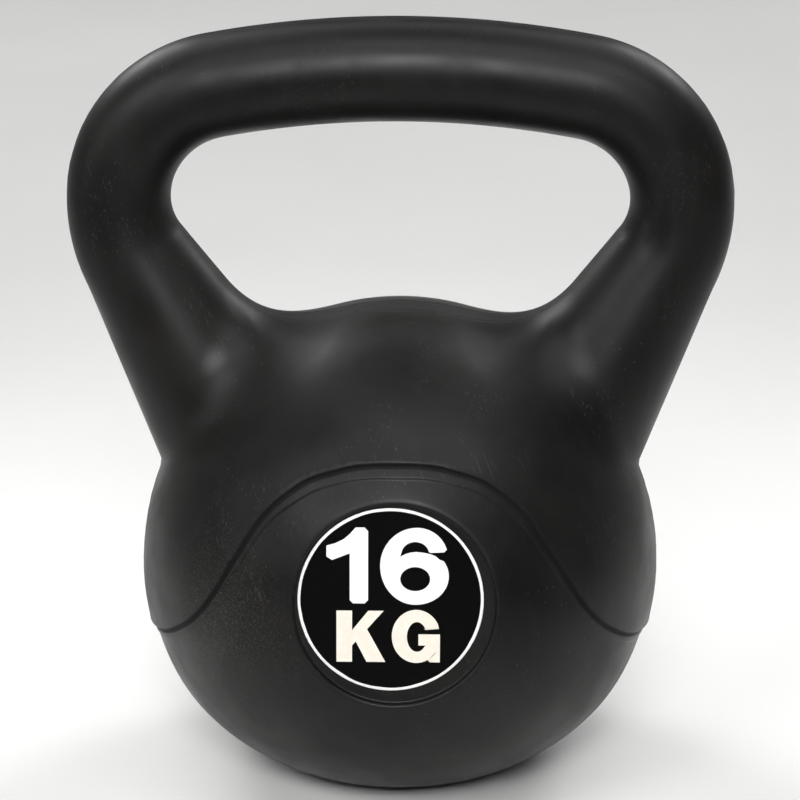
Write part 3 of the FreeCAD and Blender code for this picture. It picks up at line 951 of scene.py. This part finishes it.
def blend(tree, share, one, two):
    """Mix two colours."""
    node = tree.nodes.new("ShaderNodeMix")
    node.data_type = "RGBA"
    for socket, value in ((node.inputs[0], share), (node.inputs[6], one), (node.inputs[7], two)):
        if isinstance(value, bpy.types.NodeSocket):
            tree.links.new(value, socket)
        else:
            socket.default_value = value
    return node.outputs[2]


def bumped(tree, shader, height, depth_mm, strength=1.0):
    """Raise or lower the surface a little by a value between 0 and 1."""
    bump = add_node(tree, "ShaderNodeBump",
                    {"Height": height, "Distance": depth_mm * MM, "Strength": strength})
    tree.links.new(bump.outputs[0], shader.inputs["Normal"])


def scratches(tree, place, size_mm, turn, share):
    """Short thin lines: a noise drawn out along one way, of which only the crests are kept."""
    turned_place = add_node(tree, "ShaderNodeMapping", {"Vector": place, "Rotation": turn})
    streak = pattern(tree, turned_place.outputs[0], size_mm, 2.0, (1, 1, 26))
    patch = pattern(tree, place, 38.0, 1.0)
    return math_of(tree, "MULTIPLY", spread(tree, streak, 1 - share, 1 - share + 0.03),
                   spread(tree, patch, 0.52, 0.60))


# A painted highlight in fine pale specks on the lower left of the front, where the left lamp's light falls,
# in metres.
SPECKLED_HIGHLIGHT_PLACE = (-0.074, -0.084, 0.096)
HIGHLIGHT_OUTER, HIGHLIGHT_INNER = 0.042, 0.006


def skin_material():
    material, tree, shader, place = new_material("moulded_polyethylene", 1.51, 0.42, "#181716", specular=0.24)
    clouds = pattern(tree, place, 60.0, 4.0)
    streaks = pattern(tree, place, 5.0, 3.0, (1, 1, 7))
    grain = pattern(tree, place, 1.1, 2.0)
    color = blend(tree, spread(tree, clouds, 0.35, 0.68), screen("#100f0f"), screen("#191817"))
    color = blend(tree, spread(tree, streaks, 0.5, 0.75, 0.0, 0.35), color, screen("#211f1e"))
    dust = add_node(tree, "ShaderNodeTexVoronoi", {"Vector": place, "Scale": 1000.0 / 3.4, "Randomness": 1.0})
    speck = spread(tree, dust.outputs["Distance"], 0.13, 0.07)
    where = spread(tree, pattern(tree, place, 45.0, 2.0), 0.5, 0.66)
    speck = math_of(tree, "MULTIPLY", speck, where)
    color = blend(tree, math_of(tree, "MULTIPLY", speck, 0.16), color, screen("#8a8780"))
    # Painted highlight: the skin colour is made paler in fine specks round a place on the lower left of the
    # front.
    away = add_node(tree, "ShaderNodeVectorMath", {0: place, 1: SPECKLED_HIGHLIGHT_PLACE},
                    operation="DISTANCE").outputs["Value"]
    speckled_highlight = math_of(tree, "MULTIPLY", spread(tree, away, HIGHLIGHT_OUTER, HIGHLIGHT_INNER),
                    spread(tree, pattern(tree, place, 0.8, 4.0), 0.5, 0.7))
    color = blend(tree, math_of(tree, "MULTIPLY", speckled_highlight, 0.32), color, screen("#6c6b64"))
    marks = scratches(tree, place, 0.7, (0.5, 0.35, 0.2), 0.36)
    color = blend(tree, math_of(tree, "MULTIPLY", marks, 0.12), color, screen("#6f6c67"))
    edge = add_node(tree, "ShaderNodeAttribute", attribute_name="from_edge").outputs["Fac"]
    from_edge = math_of(tree, "ABSOLUTE", edge)
    # Painted shade: the skin colour is darkened in the shallow groove beside the land, broken along its way.
    groove_shade = spread(tree, from_edge, 0.42, 0.16)
    broken = spread(tree, pattern(tree, place, 9.0, 3.0), 0.40, 0.5)
    color = blend(tree, math_of(tree, "MULTIPLY", groove_shade, broken), color, screen("#050505"))
    # Painted shade: the skin colour is darkened along the stepped line, most on the wall of its first step,
    # and the same mask makes it a little rougher there.
    line = add_node(tree, "ShaderNodeAttribute", attribute_name="from_line").outputs["Fac"]
    step_shade = spread(tree, math_of(tree, "ABSOLUTE", math_of(tree, "ADD", line, 0.7)), 1.5, 0.7)
    color = blend(tree, step_shade, color, screen("#030303"))
    tree.links.new(color, shader.inputs["Base Color"])
    rub = spread(tree, pattern(tree, place, 24.0, 4.0), 0.35, 0.7, 0.36, 0.50)
    on_land = spread(tree, edge, 0.2, 0.6, 0.0, 0.1)
    rough = math_of(tree, "ADD", math_of(tree, "ADD", rub, on_land), math_of(tree, "MULTIPLY", marks, 0.1))
    rough = math_of(tree, "ADD", rough, math_of(tree, "MULTIPLY", step_shade, 0.3))
    tree.links.new(rough, shader.inputs["Roughness"])
    uneven = math_of(tree, "ADD", math_of(tree, "MULTIPLY", grain, 0.3),
                     math_of(tree, "MULTIPLY", streaks, 0.5))
    uneven = math_of(tree, "SUBTRACT", uneven, math_of(tree, "MULTIPLY", marks, 0.4))
    bumped(tree, shader, uneven, 0.10, 0.6)
    return material


def plain_material(name, ior, rough, low, high, size_mm, depth_mm, metallic=0.0, stretch=(1, 1, 1)):
    """Two shades mixed by a noise, with the same noise as relief."""
    material, tree, shader, place = new_material(name, ior, rough, low, metallic)
    value = pattern(tree, place, size_mm, 5.0, stretch)
    color = blend(tree, spread(tree, value, 0.35, 0.65), screen(low), screen(high))
    tree.links.new(color, shader.inputs["Base Color"])
    tree.links.new(spread(tree, value, 0.3, 0.7, rough - 0.06, rough + 0.06), shader.inputs["Roughness"])
    bumped(tree, shader, value, depth_mm)
    return material


def sticker_material():
    """Black vinyl with a white ring printed along its rim, a little uneven where it was cut."""
    material, tree, shader, place = new_material("printed_vinyl", 1.5, 0.38, "#020202", specular=0.1)
    middle = add_node(tree, "ShaderNodeAttribute", attribute_name="from_middle").outputs["Fac"]
    wobble = spread(tree, pattern(tree, place, 14.0, 2.0), 0.3, 0.7, -0.16, 0.16)
    ring = spread(tree, math_of(tree, "ADD", middle, wobble), RING_INSIDE - 0.05, RING_INSIDE + 0.05)
    black = blend(tree, spread(tree, pattern(tree, place, 3.0), 0.4, 0.7),
                  screen("#020202"), screen("#040404"))
    white = blend(tree, spread(tree, pattern(tree, place, 2.0), 0.4, 0.7),
                  screen("#f4f4f2"), screen("#ffffff"))
    color = blend(tree, ring, black, white)
    tree.links.new(color, shader.inputs["Base Color"])
    bumped(tree, shader, pattern(tree, place, 6.0, 2.0), 0.02)
    return material


RING_INSIDE = 36.75
plastic = skin_material()
vinyl = sticker_material()
plug_plastic = plain_material("plug_polyethylene", 1.51, 0.45, "#1c1b1b", "#262524", 4.0, 0.03)
white_ink = plain_material("white_ink", 1.5, 0.45, "#fbfbfa", "#ffffff", 2.0, 0.01)
cream_ink = plain_material("cream_ink", 1.5, 0.45, "#f4ebdc", "#f9f1e5", 2.0, 0.01)
cement = plain_material("cast_cement", 1.55, 0.9, "#6d6b66", "#8b8881", 6.0, 0.4)
steel = plain_material("rolled_steel_bar", 2.5, 0.5, "#55524e", "#6e6a64", 9.0, 0.05, 1.0, (4, 1, 1))
sealant = plain_material("cured_sealant", 1.45, 0.6, "#5c5a56", "#6b6964", 3.0, 0.05)

for piece, material in ((skin, plastic), (front_sticker, vinyl), (back_sticker, vinyl), (plug, plug_plastic)):
    piece.data.materials.append(material)
for name, piece in prints.items():
    piece.data.materials.append(white_ink if name.endswith("number") else cream_ink)
for node, material in (("cement_fill", cement), ("reinforcing_bar", steel), ("plug_seal", sealant)):
    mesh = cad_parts[node].data
    mesh.materials.clear()
    mesh.materials.append(material)
print(len(bpy.data.materials), "materials")

# %% [markdown]
# Now the two trees grow their threads. The seam runs round the outer edge of the skin, sunk a
# little so that only its crest shows, and the burrs lie on the lower half of the window's land.

# %% Seam and burrs
def line_on_skin(points):
    """Bring a line of points onto the finished skin."""
    points = onto(points, trimmed_form)
    normal = gradient(trimmed_form, points, 0.02)
    return points + normal / np.linalg.norm(normal, axis=1, keepdims=True) * raised(points)[:, None]


SEAM_SUNK = 0.16
outline = net[:, 0]
outline = outline[np.argsort(np.arctan2(-outline[:, 0], outline[:, 2] - WINDOW_Z) % (2 * math.pi))]
outline = np.roll(outline, len(outline) // 2, 0)
seam_line = outline[outline[:, 2] > 3.0]
seam_line = line_on_skin(seam_line)
inward = np.array([0, 0, WINDOW_Z]) - seam_line
seam_line = seam_line + inward / np.linalg.norm(inward, axis=1, keepdims=True) * SEAM_SUNK
thread, burrs = thread_tree(), burr_tree()
seam = grow("mould_seam", thread, seam_line, plastic,
            {"Spacing": 0.0012, "Radius": 0.00026, "Unevenness": 0.45, "Seed": 4})
land_line = net[:, ROUNDS // 2]
low_part = land_line[land_line[:, 2] < 236.0]
low_part = low_part[np.argsort(low_part[:, 0])]
trim_burrs = grow("trim_burrs", burrs, low_part, plastic,
                  {"Spacing": 0.0014, "Length": 0.0085, "Radius": 0.00007, "Scatter": 0.0028, "Seed": 11})

# %% [markdown]
# Each made piece now goes on the frame and stands for the engineering node it replaces. The
# cement, the bar and the ring of sealant keep their engineering shapes, which are right as
# they are, and only take a material.

# %% Put the pieces on the frame
PIECES = [
    (skin, "shell", "shell_plastic"), (front_sticker, "front_label", "label_vinyl"),
    (back_sticker, "back_label", "label_vinyl"), (plug, "filler_plug", "plug_plastic"),
    (seam, None, "shell_plastic"), (trim_burrs, None, "shell_plastic"),
    (prints["front_number"], None, "label_vinyl"), (prints["front_unit"], None, "label_vinyl"),
    (prints["back_number"], None, "label_vinyl"), (prints["back_unit"], None, "label_vinyl"),
]
for piece, node, slot in PIECES:
    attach(piece, "root")
    if node:
        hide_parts(node)
print(len(PIECES), "pieces ride on the frame")

# %% [markdown]
# A pale floor that bends up at its rim, and soft light. Wide lamps above and in front,
# a little stronger on the left, light the weight itself. Each keeps to a cone, so the floor in
# front stays dim and isn't mirrored in the belly. Three weaker lamps behind light the back, and
# four more make the floor pale.

# %% Floor, light and camera
FLOOR_STEPS = 96


def make_floor():
    """A round sheet that lies flat and bends up all round at its rim."""
    flat, bend, high = 3.0, 0.6, 2.6
    profile = [(0.3, 0.0), (1.0, 0.0), (flat, 0.0)]
    profile += [(flat + bend * math.sin(a), bend * (1 - math.cos(a)))
                for a in np.radians(np.arange(5, 91, 5))]
    profile.append((flat + bend, high))
    turn = np.linspace(0, 2 * math.pi, FLOOR_STEPS, endpoint=False)
    step = np.arange(FLOOR_STEPS)
    after = np.roll(step, -1)
    points = [(r * math.cos(a) / MM, r * math.sin(a) / MM, z / MM) for r, z in profile for a in turn]
    faces = [(FLOOR_STEPS * row + i, FLOOR_STEPS * row + after[i], FLOOR_STEPS * (row + 1) + after[i],
              FLOOR_STEPS * (row + 1) + i)
             for row in range(len(profile) - 1) for i in step]
    faces.append(tuple(range(FLOOR_STEPS - 1, -1, -1)))
    return make_mesh("studio_floor", points, faces)


def soft_light(name, place, aim, size, power, cone=180):
    """A rectangular area light turned towards a point, its light kept within a cone in degrees."""
    lamp = bpy.data.lights.new(name, "AREA")
    lamp.shape = "RECTANGLE"
    lamp.size, lamp.size_y = size
    lamp.energy = power
    lamp.spread = math.radians(cone)
    holder = bpy.data.objects.new(name, lamp)
    holder.location = place
    holder.rotation_euler = (Vector(aim) - Vector(place)).to_track_quat("-Z", "Y").to_euler()
    bpy.context.scene.collection.objects.link(holder)
    return holder


paper = plain_material("studio_paper", 1.45, 0.9, "#f2f2f1", "#f6f6f5", 400.0, 0.1)
floor = make_floor()
floor.data.materials.append(paper)
LIGHTS = [
    ("front", (0.0, -1.2, 0.9), (0.0, 0.0, 0.18), (0.6, 0.6), 0.90, 35),
    ("top", (0.0, -0.35, 1.1), (0.0, 0.0, 0.25), (0.9, 0.35), 0.36, 60),
    ("upper_left", (-0.75, -0.75, 0.95), (0.0, 0.0, 0.22), (0.9, 0.6), 0.55, 45),
    ("upper_right", (0.5, -0.45, 1.0), (0.0, 0.0, 0.2), (0.4, 0.4), 0.20, 60),
    ("left", (-0.9, -0.25, 0.45), (0.0, 0.0, 0.2), (0.3, 0.7), 0.10, 60),
    ("rear", (0.0, 0.5, 1.1), (0.0, 0.0, 0.25), (1.0, 0.3), 0.18, 70),
    ("rear_left", (-0.9, 1.1, 1.1), (0.0, 0.0, 0.18), (0.6, 0.6), 0.45, 45),
    ("rear_right", (0.9, 1.1, 1.1), (0.0, 0.0, 0.18), (0.6, 0.6), 0.45, 45),
    ("floor_left", (-0.7, 0.5, 1.4), (0.0, 0.5, 0.0), (1.0, 0.9), 1.6, 110),
    ("floor_right", (0.7, 0.5, 1.4), (0.0, 0.5, 0.0), (1.0, 0.9), 1.3, 110),
    ("backdrop_left", (-1.3, 1.5, 1.6), (-0.4, 1.9, 0.0), (1.2, 1.2), 12.0, 150),
    ("backdrop_right", (1.3, 1.5, 1.6), (0.4, 1.9, 0.0), (1.2, 1.2), 11.0, 150),
]
for light in LIGHTS:
    soft_light(*light)
world = bpy.data.worlds.new("studio")
world.use_nodes = True
world.node_tree.nodes["Background"].inputs[0].default_value = (1, 1, 1, 1)
world.node_tree.nodes["Background"].inputs[1].default_value = 0.012
bpy.context.scene.world = world
bpy.context.scene.view_settings.view_transform = "Standard"

CAMERA_TARGET = Vector((0, 0, 0.1613))
CAMERA_DISTANCE, CAMERA_RISE, CAMERA_TURN = 1.5, math.radians(17.0), math.radians(1.3)
LENS = 157.0
camera_data = bpy.data.cameras.new("camera")
camera_data.lens = LENS
camera_data.clip_end = 50
camera = bpy.data.objects.new("camera", camera_data)
camera.location = CAMERA_TARGET + CAMERA_DISTANCE * Vector((
    math.sin(CAMERA_TURN) * math.cos(CAMERA_RISE), -math.cos(CAMERA_TURN) * math.cos(CAMERA_RISE),
    math.sin(CAMERA_RISE)))
camera.rotation_euler = (CAMERA_TARGET - camera.location).to_track_quat("-Z", "Y").to_euler()
bpy.context.scene.collection.objects.link(camera)
bpy.context.scene.camera = camera
